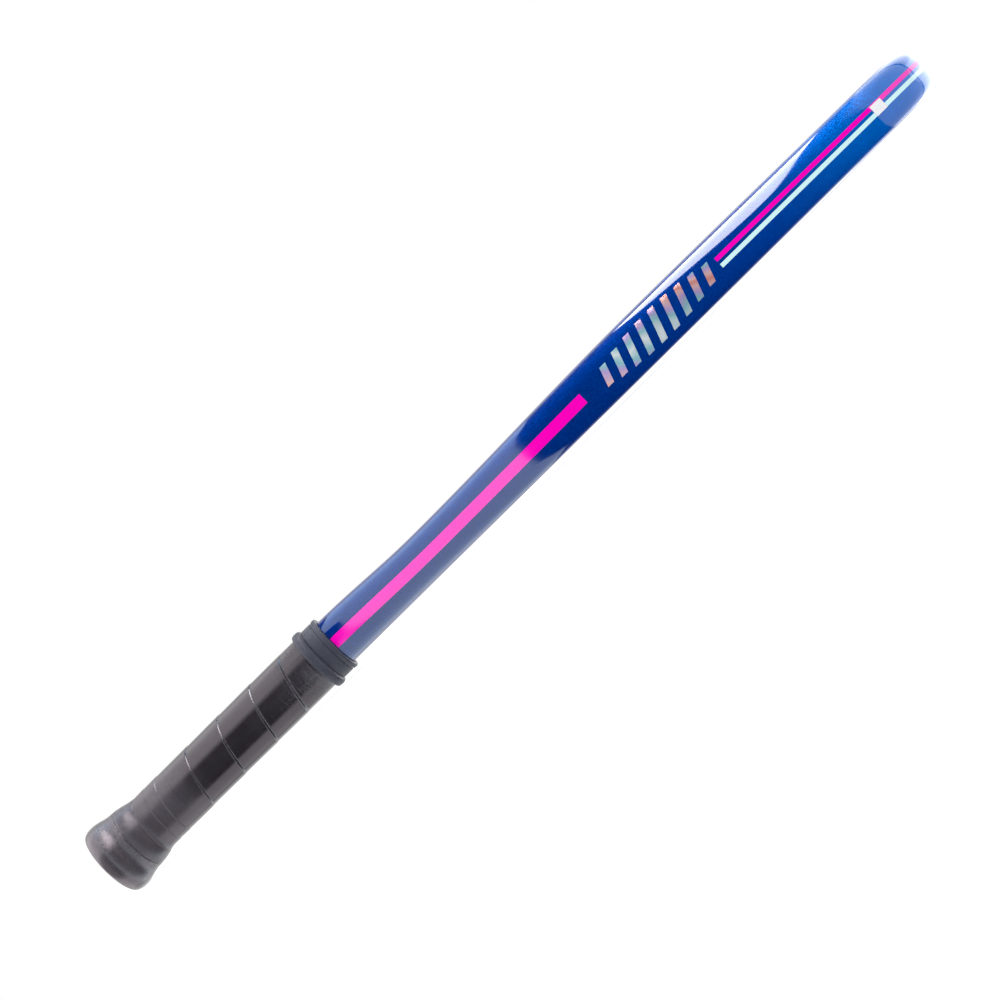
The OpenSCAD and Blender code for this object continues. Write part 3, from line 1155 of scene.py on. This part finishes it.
dress(lacqueredShell, blueLacquer, "lacquered_laminate", "shell")
dress(buttCap, capRubber, "cap_rubber", "butt_cap")
dress(gripTape, tackyTape, "grip_tape", "grip_tape")
dress(rubberCollar, collarRubber, "collar_rubber", "collar")
dress(wideStripe, pinkPrint, "pink_transfer", "wide_stripe")
dress(pinkStripe, pinkPrint, "pink_transfer", "pink_stripe")
dress(cyanStripe, cyanPrint, "cyan_transfer", "cyan_stripe")
dress(foilMarks, foilFilm, "foil_transfer", "foil_marks")
dress(sizeTag, whitePrint, "white_transfer", "size_tag")

insideFinishes = {
    "centre_web": wovenLaminate,
    "outer_core": coreFoam,
    "inner_core": coreFoam,
    "head_core": headFoam,
    "handle_damper": damperRubber,
    "end_plug": mouldedPlug,
    "grip_underlay": clothTape,
    "finishing_tape": clothTape,
}
for nodeName, material in insideFinishes.items():
    paint(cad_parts[nodeName], material)
print("materials are on")

# The soft boxes that glossy rays see. Lift is the angle round the stick in degrees, 0 towards the
# front and 90 straight up. Right is -1 towards the butt and 1 towards the head. A pair is where an
# edge starts and where it is complete, and a third number is the most it comes to.
studio = {
    "ambient": 0.72,
    "frontBox": {
        "light": 3.0,
        "from": -0.113,
        "to": 0.0112,
        "fromSoft": 0.0008,
        "toSoft": 0.001,
        "away": (118, 140),  # lift, up or down, where it fades out
        # how far its two ends move aside with lift
        "toHigh": (-2, 58, 0.0145),
        "toHighest": (75, 140, 0.026),
        "toLow": (-34, 0, 0.0115),
        "toLowest": (-95, -52, 0.012),
        "fromLean": (-30, 0.0004),  # lift from which it leans, and how far per degree
        "fromHigh": (56, 70, 0.03),
        "fromLow": (-34, -24, 0.012),
        "tint": (0.84, 0.98, 1.0, 1),
        "rimTint": (0.78, 1.04, 1.3, 1),
        "rimTintFrom": (70, 110),
    },
    "ceiling": {"light": 2.45, "lift": (40, 130, 13), "end": 0.107, "soft": 0.02},
    "table": {"light": 1.7, "near": (-66, -48), "far": (-130, -110), "end": 0.137, "soft": 0.02},
    # its lower edge curves up on both sides of the middle, more steeply on the right of it
    "strip": {
        "light": 15.0,
        "middle": 0.205,
        "curve": 9300,
        "extraCurve": 14700,
        "low": (28, 34),
        "high": (118, 126),
    },
    "rightWall": {
        "light": 1.6,
        "from": 0.3,
        "soft": 0.02,
        "highLean": (40, 130),
        "highLeanBy": 0.015,
        "lowLean": (0, 25),
        "lowLeanBy": 0.028,
        "until": (1.09, 1.1),
    },
    "edgeGlow": {
        "light": 3.2,
        "from": (1.125, 1.15),
        "right": (0.3, 0.4),
        "above": (0.16, 0.28, 0.55),  # weaker above, or it drowns the back
    },
    "backShare": 0.98,  # how much of the way back counts where the wall ends and the glow starts
    "leftWall": {"light": 0.8, "edge": (-0.42, -0.36), "lift": (-130, 130, 10)},
    "backdrop": {
        "light": 1.0,
        "from": (118, 140),
        "lowShare": 0.5,
        "lowFrom": (112, 124),
        "lowUntil": (-10, 10),
    },
}


def frontBox(right, lift):
    box = studio["frontBox"]
    farShift = lift.share(*box["toHigh"]) - lift.share(*box["toHighest"])
    farShift = farShift + lift.fading(*box["toLow"]) - lift.fading(*box["toLowest"])
    farEnd = (right + farShift).falling(box["to"] - box["toSoft"], box["to"] + box["toSoft"])
    lowest, perDegree = box["fromLean"]
    nearShift = lift.maths("MAXIMUM", lift, lowest) * perDegree - lift.share(*box["fromHigh"])
    nearShift = nearShift - lift.fading(*box["fromLow"])
    nearEnd = right - nearShift - box["from"]
    room = farEnd * nearEnd.rising(-box["fromSoft"], box["fromSoft"])
    return room * lift.absolute().falling(*box["away"])


def rightSide(right, back, up, lift):
    box, glow = studio["rightWall"], studio["edgeGlow"]
    lean = box["highLeanBy"] * lift.rising(*box["highLean"])
    lean = lean - box["lowLeanBy"] * lift.rising(*box["lowLean"])
    start = right - box["from"] - lean
    beyond = right + back * studio["backShare"]
    wall = start.rising(0, box["soft"]) * beyond.falling(*box["until"]) * box["light"]
    shine = beyond.rising(*glow["from"]) * right.rising(*glow["right"]) * glow["light"]
    return wall + shine * (1 - up.share(*glow["above"]))


def aboveAndBelow(right, lift):
    ceiling, table, strip = studio["ceiling"], studio["table"], studio["strip"]
    onHandle = (right + ceiling["end"]).falling(-ceiling["soft"], 0)
    overhead = lift.between(*ceiling["lift"]) * onHandle * ceiling["light"]
    under = lift.falling(*table["near"]) * (right + table["end"]).falling(-table["soft"], 0)
    under = under * lift.rising(*table["far"]) * table["light"]
    steepness = (right > strip["middle"]) * strip["extraCurve"] + strip["curve"]
    foot = lift - (right - strip["middle"]) ** 2 * steepness
    narrow = foot.rising(*strip["low"]) * lift.falling(*strip["high"]) * strip["light"]
    return overhead + under + narrow


def farBehind(right, lift):
    wall, backdrop = studio["leftWall"], studio["backdrop"]
    left = right.falling(*wall["edge"]) * lift.between(*wall["lift"]) * wall["light"]
    low = lift.absolute().rising(*backdrop["lowFrom"]) * lift.falling(*backdrop["lowUntil"])
    low = low * backdrop["light"] * backdrop["lowShare"]
    return left + low + lift.absolute().rising(*backdrop["from"]) * backdrop["light"]


def lightRoom():
    world = bpy.data.worlds.new("studio")
    bpy.context.scene.world = world
    world.use_nodes = True
    world.cycles.sampling_method = "NONE"
    desk = Desk(world.node_tree)
    way = desk.add("ShaderNodeTexCoord", output="Generated")
    right, back, up = (desk.axis(way, name) for name in "XYZ")
    lift = up.maths("ARCTAN2", up, 0 - back) * (180 / math.pi)
    box = studio["frontBox"]
    room = frontBox(right, lift)
    seen = room * box["light"] + aboveAndBelow(right, lift)
    seen = seen + rightSide(right, back, up, lift) + farBehind(right, lift)
    glossy = desk.rays("Is Glossy Ray")
    shown = desk.rays("Is Camera Ray", "Is Transmission Ray")
    strength = glossy * seen + (1 - glossy) * studio["ambient"]
    strength = shown + (1 - shown) * strength
    tint = desk.blend(lift.rising(*box["rimTintFrom"]), box["tint"], box["rimTint"])
    tint = desk.blend(room * glossy, (1, 1, 1, 1), tint)
    sky = desk.add("ShaderNodeBackground", None, {"Color": tint, "Strength": strength})
    desk.add("ShaderNodeOutputWorld", None, {"Surface": sky})


ground = {"size": 8, "squares": 8, "tone": (0.86, 0.86, 0.87, 1), "glow": 0.5}


def layFloor():
    clearSelection()
    squares = ground["squares"]
    bpy.ops.mesh.primitive_grid_add(
        x_subdivisions=squares, y_subdivisions=squares, size=ground["size"]
    )
    floor = bpy.context.object
    floor.name = "floor"
    floor.visible_glossy = False
    material, desk = newMaterial("paleFloor")
    matt = desk.add("ShaderNodeBsdfDiffuse", None, {"Color": ground["tone"]})
    values = {"Color": (1, 1, 1, 1), "Strength": ground["glow"]}
    glow = desk.add("ShaderNodeEmission", None, values)
    lit = desk.add("ShaderNodeAddShader", None, {0: matt, 1: glow})
    seen = desk.rays("Is Camera Ray", "Is Glossy Ray", "Is Transmission Ray")
    shown = desk.add("ShaderNodeMixShader", None, {0: seen, 1: matt, 2: lit})
    desk.add("ShaderNodeOutputMaterial", None, {"Surface": shown})
    floor.data.materials.append(material)


softbox = {"at": (-0.35, -0.9, 1.1), "wide": 1.3, "tall": 0.9, "power": 9.0}


def hangLamp():
    clearSelection()
    bpy.ops.object.light_add(type="AREA", location=softbox["at"])
    lamp = bpy.context.object
    lamp.name = "softbox"
    lamp.data.shape = "RECTANGLE"
    lamp.data.size, lamp.data.size_y = softbox["wide"], softbox["tall"]
    lamp.data.energy = softbox["power"]
    lamp.rotation_mode = "QUATERNION"
    lamp.rotation_quaternion = lamp.location.to_track_quat("Z", "Y")
    lamp.visible_camera = False
    lamp.visible_glossy = False


camera = {
    "at": (-0.0264, -1.084, 0.0110),
    "roll": 45.30,  # degrees
    "lens": 66.4,
    "sensor": 36,
    "nearest": 0.01,
    "farthest": 50,
}


def standCamera():
    clearSelection()
    bpy.ops.object.camera_add()
    eye = bpy.context.object
    eye.name = "camera"
    eye.data.sensor_width = camera["sensor"]
    eye.data.lens = camera["lens"]
    eye.data.clip_start, eye.data.clip_end = camera["nearest"], camera["farthest"]
    roll = math.radians(camera["roll"])
    sideways = Vector((math.cos(roll), 0, -math.sin(roll)))
    upwards = Vector((math.sin(roll), 0, math.cos(roll)))
    turn = Matrix((sideways, upwards, Vector((0, -1, 0)))).transposed().to_4x4()
    eye.matrix_world = Matrix.Translation(camera["at"]) @ turn
    bpy.context.scene.camera = eye


lightRoom()
layFloor()
hangLamp()
standCamera()
bpy.context.scene.view_settings.view_transform = "Standard"
print("studio is set")

clearSelection()
